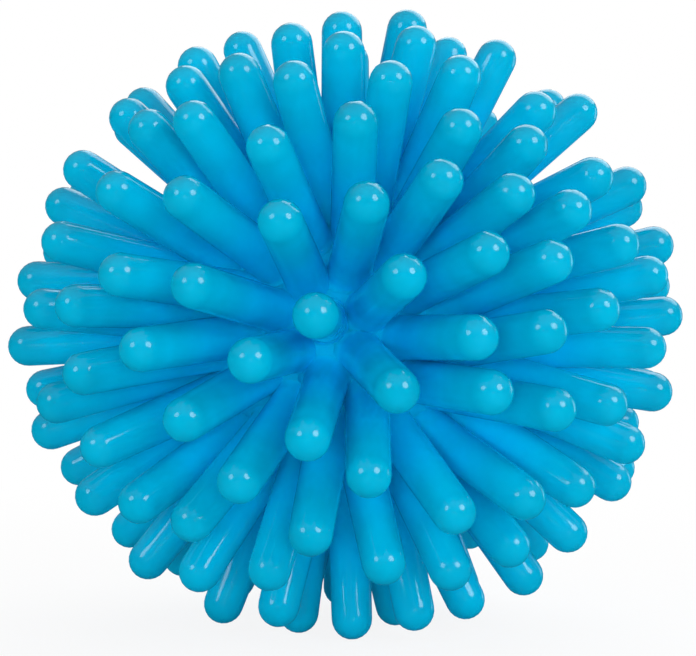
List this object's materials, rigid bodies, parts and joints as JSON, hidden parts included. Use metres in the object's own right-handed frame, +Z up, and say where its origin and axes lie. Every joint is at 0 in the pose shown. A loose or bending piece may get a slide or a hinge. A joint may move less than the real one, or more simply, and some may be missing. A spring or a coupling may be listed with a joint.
{
  "type": "sensory ball",
  "caption": "Soft hollow ball covered all over in flexible round-ended fingers that lean when they are stroked, with a needle valve in its core for filling it with air.",
  "frame": {"origin": "on the floor that the lowest fingertips stand on, midway between the outermost fingertips, under the ball's centre", "axes": "+Z up through the needle valve; -Y towards the side that the picture shows; +X to its right"},
  "size_m": [0.0898, 0.0896, 0.0829],
  "materials": {
    "finger_vinyl": "glossy soft vinyl, cyan blue",
    "core_vinyl": "the same soft vinyl, in the shade of the fingers",
    "valve_rubber": "satin moulded rubber"
  },
  "bodies": {
    "core": {"upper_shell": "core_vinyl", "lower_shell": "core_vinyl", "needle_valve": "valve_rubber"},
    "front_tuft_01": {"front_tuft_01": "finger_vinyl"},
    "front_tuft_02": {"front_tuft_02": "finger_vinyl"},
    "front_tuft_03": {"front_tuft_03": "finger_vinyl"},
    "front_tuft_04": {"front_tuft_04": "finger_vinyl"},
    "front_tuft_05": {"front_tuft_05": "finger_vinyl"},
    "front_tuft_06": {"front_tuft_06": "finger_vinyl"},
    "front_tuft_07": {"front_tuft_07": "finger_vinyl"},
    "front_tuft_08": {"front_tuft_08": "finger_vinyl"},
    "front_tuft_09": {"front_tuft_09": "finger_vinyl"},
    "front_tuft_10": {"front_tuft_10": "finger_vinyl"},
    "front_tuft_11": {"front_tuft_11": "finger_vinyl"},
    "front_tuft_12": {"front_tuft_12": "finger_vinyl"},
    "front_tuft_13": {"front_tuft_13": "finger_vinyl"},
    "front_tuft_14": {"front_tuft_14": "finger_vinyl"},
    "front_tuft_15": {"front_tuft_15": "finger_vinyl"},
    "front_tuft_16": {"front_tuft_16": "finger_vinyl"},
    "front_tuft_17": {"front_tuft_17": "finger_vinyl"},
    "front_tuft_18": {"front_tuft_18": "finger_vinyl"},
    "front_tuft_19": {"front_tuft_19": "finger_vinyl"},
    "front_tuft_20": {"front_tuft_20": "finger_vinyl"},
    "front_tuft_21": {"front_tuft_21": "finger_vinyl"},
    "front_tuft_22": {"front_tuft_22": "finger_vinyl"},
    "front_tuft_23": {"front_tuft_23": "finger_vinyl"},
    "front_tuft_24": {"front_tuft_24": "finger_vinyl"},
    "rear_tuft_01": {"rear_tuft_01": "finger_vinyl"},
    "rear_tuft_02": {"rear_tuft_02": "finger_vinyl"},
    "rear_tuft_03": {"rear_tuft_03": "finger_vinyl"},
    "rear_tuft_04": {"rear_tuft_04": "finger_vinyl"},
    "rear_tuft_05": {"rear_tuft_05": "finger_vinyl"},
    "rear_tuft_06": {"rear_tuft_06": "finger_vinyl"},
    "rear_tuft_07": {"rear_tuft_07": "finger_vinyl"},
    "rear_tuft_08": {"rear_tuft_08": "finger_vinyl"},
    "rear_tuft_09": {"rear_tuft_09": "finger_vinyl"},
    "rear_tuft_10": {"rear_tuft_10": "finger_vinyl"},
    "rear_tuft_11": {"rear_tuft_11": "finger_vinyl"},
    "rear_tuft_12": {"rear_tuft_12": "finger_vinyl"},
    "rear_tuft_13": {"rear_tuft_13": "finger_vinyl"},
    "rear_tuft_14": {"rear_tuft_14": "finger_vinyl"},
    "rear_tuft_15": {"rear_tuft_15": "finger_vinyl"},
    "rear_tuft_16": {"rear_tuft_16": "finger_vinyl"},
    "rear_tuft_17": {"rear_tuft_17": "finger_vinyl"},
    "rear_tuft_18": {"rear_tuft_18": "finger_vinyl"},
    "rear_tuft_19": {"rear_tuft_19": "finger_vinyl"},
    "rear_tuft_20": {"rear_tuft_20": "finger_vinyl"},
    "rear_tuft_21": {"rear_tuft_21": "finger_vinyl"},
    "rear_tuft_22": {"rear_tuft_22": "finger_vinyl"},
    "rear_tuft_23": {"rear_tuft_23": "finger_vinyl"},
    "rear_tuft_24": {"rear_tuft_24": "finger_vinyl"}
  },
  "joints": [
    {"name": "front_tuft_01_flex", "type": "hinge", "parent": "core", "child": "front_tuft_01", "pos_m": [-0.00519, -0.00342, 0.06278], "axis": [0.9289, -0.3179, 0.1902], "range_deg": [-10, 10], "stiffness_Nm_per_rad": 0.04},
    {"name": "front_tuft_02_flex", "type": "hinge", "parent": "core", "child": "front_tuft_02", "pos_m": [-0.0084, -0.01534, 0.05661], "axis": [0.4033, 0.5374, 0.7406], "range_deg": [-7, 7], "stiffness_Nm_per_rad": 0.04},
    {"name": "front_tuft_03_flex", "type": "hinge", "parent": "core", "child": "front_tuft_03", "pos_m": [0.00826, -0.01571, 0.0564], "axis": [-0.2374, 0.6169, 0.7504], "range_deg": [-10, 10], "stiffness_Nm_per_rad": 0.04},
    {"name": "front_tuft_04_flex", "type": "hinge", "parent": "core", "child": "front_tuft_04", "pos_m": [-0.01359, -0.01177, 0.05638], "axis": [0.3261, 0.5989, 0.7314], "range_deg": [-7, 7], "stiffness_Nm_per_rad": 0.04},
    {"name": "front_tuft_05_flex", "type": "hinge", "parent": "core", "child": "front_tuft_05", "pos_m": [-0.00337, -0.01851, 0.05501], "axis": [0.2397, 0.5617, 0.7919], "range_deg": [-10, 10], "stiffness_Nm_per_rad": 0.04},
    {"name": "front_tuft_06_flex", "type": "hinge", "parent": "core", "child": "front_tuft_06", "pos_m": [0.01855, -0.00481, 0.05429], "axis": [-0.6007, -0.0099, 0.7994], "range_deg": [-10, 10], "stiffness_Nm_per_rad": 0.04},
    {"name": "front_tuft_07_flex", "type": "hinge", "parent": "core", "child": "front_tuft_07", "pos_m": [0.00081, -0.02114, 0.05081], "axis": [0.1759, 0.4125, 0.8938], "range_deg": [-10, 10], "stiffness_Nm_per_rad": 0.04},
    {"name": "front_tuft_08_flex", "type": "hinge", "parent": "core", "child": "front_tuft_08", "pos_m": [-0.01988, -0.00951, 0.04957], "axis": [0.2818, 0.264, 0.9224], "range_deg": [-10, 10], "stiffness_Nm_per_rad": 0.04},
    {"name": "front_tuft_09_flex", "type": "hinge", "parent": "core", "child": "front_tuft_09", "pos_m": [0.01923, -0.01092, 0.04777], "axis": [-0.5417, -0.5274, 0.6545], "range_deg": [-10, 10], "stiffness_Nm_per_rad": 0.04},
    {"name": "front_tuft_10_flex", "type": "hinge", "parent": "core", "child": "front_tuft_10", "pos_m": [0.01295, -0.01808, 0.04773], "axis": [0.2947, 0.5287, 0.796], "range_deg": [-6, 6], "stiffness_Nm_per_rad": 0.04},
    {"name": "front_tuft_11_flex", "type": "hinge", "parent": "core", "child": "front_tuft_11", "pos_m": [0.01079, -0.02086, 0.04288], "axis": [-0.4911, -0.167, 0.855], "range_deg": [-8, 8], "stiffness_Nm_per_rad": 0.04},
    {"name": "front_tuft_12_flex", "type": "hinge", "parent": "core", "child": "front_tuft_12", "pos_m": [-0.02287, -0.00539, 0.04227], "axis": [-0.0513, 0.4372, 0.8979], "range_deg": [-7, 7], "stiffness_Nm_per_rad": 0.04},
    {"name": "front_tuft_13_flex", "type": "hinge", "parent": "core", "child": "front_tuft_13", "pos_m": [0.01692, -0.01586, 0.03809], "axis": [0.2382, 0.0625, 0.9692], "range_deg": [-8, 8], "stiffness_Nm_per_rad": 0.04},
    {"name": "front_tuft_14_flex", "type": "hinge", "parent": "core", "child": "front_tuft_14", "pos_m": [-0.01179, -0.02023, 0.03706], "axis": [-0.5094, 0.1401, 0.849], "range_deg": [-10, 10], "stiffness_Nm_per_rad": 0.04},
    {"name": "front_tuft_15_flex", "type": "hinge", "parent": "core", "child": "front_tuft_15", "pos_m": [-0.00533, -0.02215, 0.03542], "axis": [-0.4511, -0.1155, 0.885], "range_deg": [-8, 8], "stiffness_Nm_per_rad": 0.04},
    {"name": "front_tuft_16_flex", "type": "hinge", "parent": "core", "child": "front_tuft_16", "pos_m": [-0.01739, -0.01527, 0.03499], "axis": [-0.2497, -0.0828, 0.9648], "range_deg": [-10, 10], "stiffness_Nm_per_rad": 0.04},
    {"name": "front_tuft_17_flex", "type": "hinge", "parent": "core", "child": "front_tuft_17", "pos_m": [0.0028, -0.02193, 0.03378], "axis": [0.1043, -0.2964, 0.9494], "range_deg": [-10, 10], "stiffness_Nm_per_rad": 0.04},
    {"name": "front_tuft_18_flex", "type": "hinge", "parent": "core", "child": "front_tuft_18", "pos_m": [0.02132, -0.0046, 0.03334], "axis": [0.3502, 0.2973, 0.8883], "range_deg": [-9, 9], "stiffness_Nm_per_rad": 0.04},
    {"name": "front_tuft_19_flex", "type": "hinge", "parent": "core", "child": "front_tuft_19", "pos_m": [0.01775, -0.01222, 0.0313], "axis": [0.5987, 0.3071, 0.7398], "range_deg": [-7, 7], "stiffness_Nm_per_rad": 0.04},
    {"name": "front_tuft_20_flex", "type": "hinge", "parent": "core", "child": "front_tuft_20", "pos_m": [-0.01918, -0.00642, 0.02972], "axis": [-0.5753, 0.5137, 0.6365], "range_deg": [-10, 10], "stiffness_Nm_per_rad": 0.04},
    {"name": "front_tuft_21_flex", "type": "hinge", "parent": "core", "child": "front_tuft_21", "pos_m": [0.00752, -0.01633, 0.02637], "axis": [0.1529, -0.61, 0.7775], "range_deg": [-8, 8], "stiffness_Nm_per_rad": 0.04},
    {"name": "front_tuft_22_flex", "type": "hinge", "parent": "core", "child": "front_tuft_22", "pos_m": [0.01574, -0.00281, 0.02335], "axis": [0.7124, 0.3725, 0.5947], "range_deg": [-10, 10], "stiffness_Nm_per_rad": 0.04},
    {"name": "front_tuft_23_flex", "type": "hinge", "parent": "core", "child": "front_tuft_23", "pos_m": [-0.00524, -0.0128, 0.02168], "axis": [-0.4952, -0.6534, 0.5725], "range_deg": [-9, 9], "stiffness_Nm_per_rad": 0.04},
    {"name": "front_tuft_24_flex", "type": "hinge", "parent": "core", "child": "front_tuft_24", "pos_m": [-0.00624, -0.00418, 0.0188], "axis": [-0.9543, -0.1081, 0.2788], "range_deg": [-10, 10], "stiffness_Nm_per_rad": 0.04},
    {"name": "rear_tuft_01_flex", "type": "hinge", "parent": "core", "child": "rear_tuft_01", "pos_m": [0.00519, 0.00342, 0.06278], "axis": [-0.9289, 0.3179, 0.1902], "range_deg": [-10, 10], "stiffness_Nm_per_rad": 0.04},
    {"name": "rear_tuft_02_flex", "type": "hinge", "parent": "core", "child": "rear_tuft_02", "pos_m": [0.0084, 0.01534, 0.05661], "axis": [-0.4033, -0.5374, 0.7406], "range_deg": [-7, 7], "stiffness_Nm_per_rad": 0.04},
    {"name": "rear_tuft_03_flex", "type": "hinge", "parent": "core", "child": "rear_tuft_03", "pos_m": [-0.00826, 0.01571, 0.0564], "axis": [0.2374, -0.6169, 0.7504], "range_deg": [-10, 10], "stiffness_Nm_per_rad": 0.04},
    {"name": "rear_tuft_04_flex", "type": "hinge", "parent": "core", "child": "rear_tuft_04", "pos_m": [0.01359, 0.01177, 0.05638], "axis": [-0.3261, -0.5989, 0.7314], "range_deg": [-7, 7], "stiffness_Nm_per_rad": 0.04},
    {"name": "rear_tuft_05_flex", "type": "hinge", "parent": "core", "child": "rear_tuft_05", "pos_m": [0.00337, 0.01851, 0.05501], "axis": [-0.2397, -0.5617, 0.7919], "range_deg": [-10, 10], "stiffness_Nm_per_rad": 0.04},
    {"name": "rear_tuft_06_flex", "type": "hinge", "parent": "core", "child": "rear_tuft_06", "pos_m": [-0.01855, 0.00481, 0.05429], "axis": [0.6007, 0.0099, 0.7994], "range_deg": [-10, 10], "stiffness_Nm_per_rad": 0.04},
    {"name": "rear_tuft_07_flex", "type": "hinge", "parent": "core", "child": "rear_tuft_07", "pos_m": [-0.00081, 0.02114, 0.05081], "axis": [-0.1759, -0.4125, 0.8938], "range_deg": [-10, 10], "stiffness_Nm_per_rad": 0.04},
    {"name": "rear_tuft_08_flex", "type": "hinge", "parent": "core", "child": "rear_tuft_08", "pos_m": [0.01988, 0.00951, 0.04957], "axis": [-0.2818, -0.264, 0.9224], "range_deg": [-10, 10], "stiffness_Nm_per_rad": 0.04},
    {"name": "rear_tuft_09_flex", "type": "hinge", "parent": "core", "child": "rear_tuft_09", "pos_m": [-0.01923, 0.01092, 0.04777], "axis": [0.5417, 0.5274, 0.6545], "range_deg": [-10, 10], "stiffness_Nm_per_rad": 0.04},
    {"name": "rear_tuft_10_flex", "type": "hinge", "parent": "core", "child": "rear_tuft_10", "pos_m": [-0.01295, 0.01808, 0.04773], "axis": [-0.2947, -0.5287, 0.796], "range_deg": [-6, 6], "stiffness_Nm_per_rad": 0.04},
    {"name": "rear_tuft_11_flex", "type": "hinge", "parent": "core", "child": "rear_tuft_11", "pos_m": [-0.01079, 0.02086, 0.04288], "axis": [0.4911, 0.167, 0.855], "range_deg": [-8, 8], "stiffness_Nm_per_rad": 0.04},
    {"name": "rear_tuft_12_flex", "type": "hinge", "parent": "core", "child": "rear_tuft_12", "pos_m": [0.02287, 0.00539, 0.04227], "axis": [0.0513, -0.4372, 0.8979], "range_deg": [-7, 7], "stiffness_Nm_per_rad": 0.04},
    {"name": "rear_tuft_13_flex", "type": "hinge", "parent": "core", "child": "rear_tuft_13", "pos_m": [-0.01692, 0.01586, 0.03809], "axis": [-0.2382, -0.0625, 0.9692], "range_deg": [-8, 8], "stiffness_Nm_per_rad": 0.04},
    {"name": "rear_tuft_14_flex", "type": "hinge", "parent": "core", "child": "rear_tuft_14", "pos_m": [0.01179, 0.02023, 0.03706], "axis": [0.5094, -0.1401, 0.849], "range_deg": [-10, 10], "stiffness_Nm_per_rad": 0.04},
    {"name": "rear_tuft_15_flex", "type": "hinge", "parent": "core", "child": "rear_tuft_15", "pos_m": [0.00533, 0.02215, 0.03542], "axis": [0.4511, 0.1155, 0.885], "range_deg": [-8, 8], "stiffness_Nm_per_rad": 0.04},
    {"name": "rear_tuft_16_flex", "type": "hinge", "parent": "core", "child": "rear_tuft_16", "pos_m": [0.01739, 0.01527, 0.03499], "axis": [0.2497, 0.0828, 0.9648], "range_deg": [-10, 10], "stiffness_Nm_per_rad": 0.04},
    {"name": "rear_tuft_17_flex", "type": "hinge", "parent": "core", "child": "rear_tuft_17", "pos_m": [-0.0028, 0.02193, 0.03378], "axis": [-0.1043, 0.2964, 0.9494], "range_deg": [-10, 10], "stiffness_Nm_per_rad": 0.04},
    {"name": "rear_tuft_18_flex", "type": "hinge", "parent": "core", "child": "rear_tuft_18", "pos_m": [-0.02132, 0.0046, 0.03334], "axis": [-0.3502, -0.2973, 0.8883], "range_deg": [-9, 9], "stiffness_Nm_per_rad": 0.04},
    {"name": "rear_tuft_19_flex", "type": "hinge", "parent": "core", "child": "rear_tuft_19", "pos_m": [-0.01775, 0.01222, 0.0313], "axis": [-0.5987, -0.3071, 0.7398], "range_deg": [-7, 7], "stiffness_Nm_per_rad": 0.04},
    {"name": "rear_tuft_20_flex", "type": "hinge", "parent": "core", "child": "rear_tuft_20", "pos_m": [0.01918, 0.00642, 0.02972], "axis": [0.5753, -0.5137, 0.6365], "range_deg": [-10, 10], "stiffness_Nm_per_rad": 0.04},
    {"name": "rear_tuft_21_flex", "type": "hinge", "parent": "core", "child": "rear_tuft_21", "pos_m": [-0.00752, 0.01633, 0.02637], "axis": [-0.1529, 0.61, 0.7775], "range_deg": [-8, 8], "stiffness_Nm_per_rad": 0.04},
    {"name": "rear_tuft_22_flex", "type": "hinge", "parent": "core", "child": "rear_tuft_22", "pos_m": [-0.01574, 0.00281, 0.02335], "axis": [-0.7124, -0.3725, 0.5947], "range_deg": [-10, 10], "stiffness_Nm_per_rad": 0.04},
    {"name": "rear_tuft_23_flex", "type": "hinge", "parent": "core", "child": "rear_tuft_23", "pos_m": [0.00524, 0.0128, 0.02168], "axis": [0.4952, 0.6534, 0.5725], "range_deg": [-9, 9], "stiffness_Nm_per_rad": 0.04},
    {"name": "rear_tuft_24_flex", "type": "hinge", "parent": "core", "child": "rear_tuft_24", "pos_m": [0.00624, 0.00418, 0.0188], "axis": [0.9543, 0.1081, 0.2788], "range_deg": [-10, 10], "stiffness_Nm_per_rad": 0.04}
  ]
}
